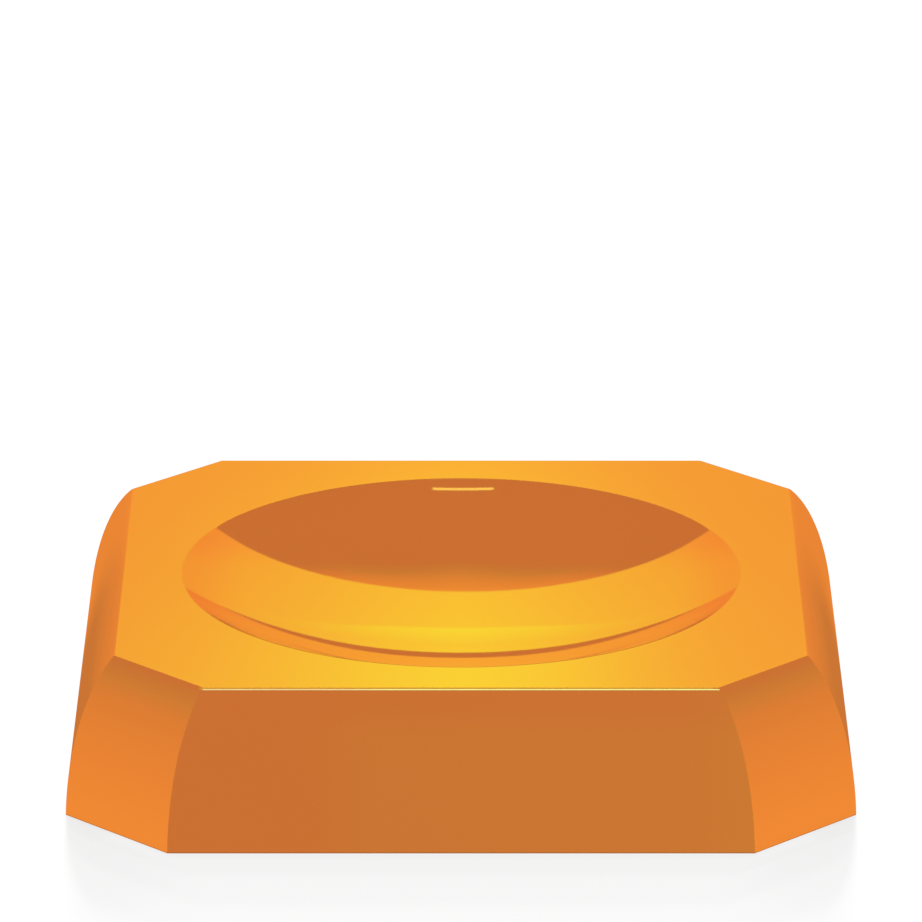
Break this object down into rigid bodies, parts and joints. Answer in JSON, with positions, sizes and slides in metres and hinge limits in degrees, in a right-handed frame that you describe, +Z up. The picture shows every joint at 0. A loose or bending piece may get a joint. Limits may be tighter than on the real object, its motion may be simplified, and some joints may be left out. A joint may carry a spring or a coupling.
{
  "type": "raised pavement marker",
  "caption": "Low square road marker with cut corners, barrelled sides, a dished deck and amber lens stacks filling the front and rear faces.",
  "frame": {"origin": "centre of the underside, in the ground plane", "axes": "+Z up out of the road, front lens faces -Y, rear lens faces +Y"},
  "size_m": [0.1016, 0.1016, 0.0201],
  "materials": {
    "housing_amber": "gloss moulded amber",
    "lens_face": "hard clear face over amber",
    "lens_amber": "clear amber, metallised prisms",
    "cell_backing": "satin grey",
    "potting": "rough cast resin",
    "sand_bed": "coarse sand",
    "butyl": "satin black butyl"
  },
  "bodies": {
    "root": {"body_shell": "housing_amber", "front_lens_face": "lens_face", "front_lens": "lens_amber", "front_cell_backing": "cell_backing", "rear_lens_face": "lens_face", "rear_lens": "lens_amber", "rear_cell_backing": "cell_backing", "potting_core": "potting", "base_sand_layer": "sand_bed", "adhesive_pad": "butyl"}
  },
  "joints": []
}
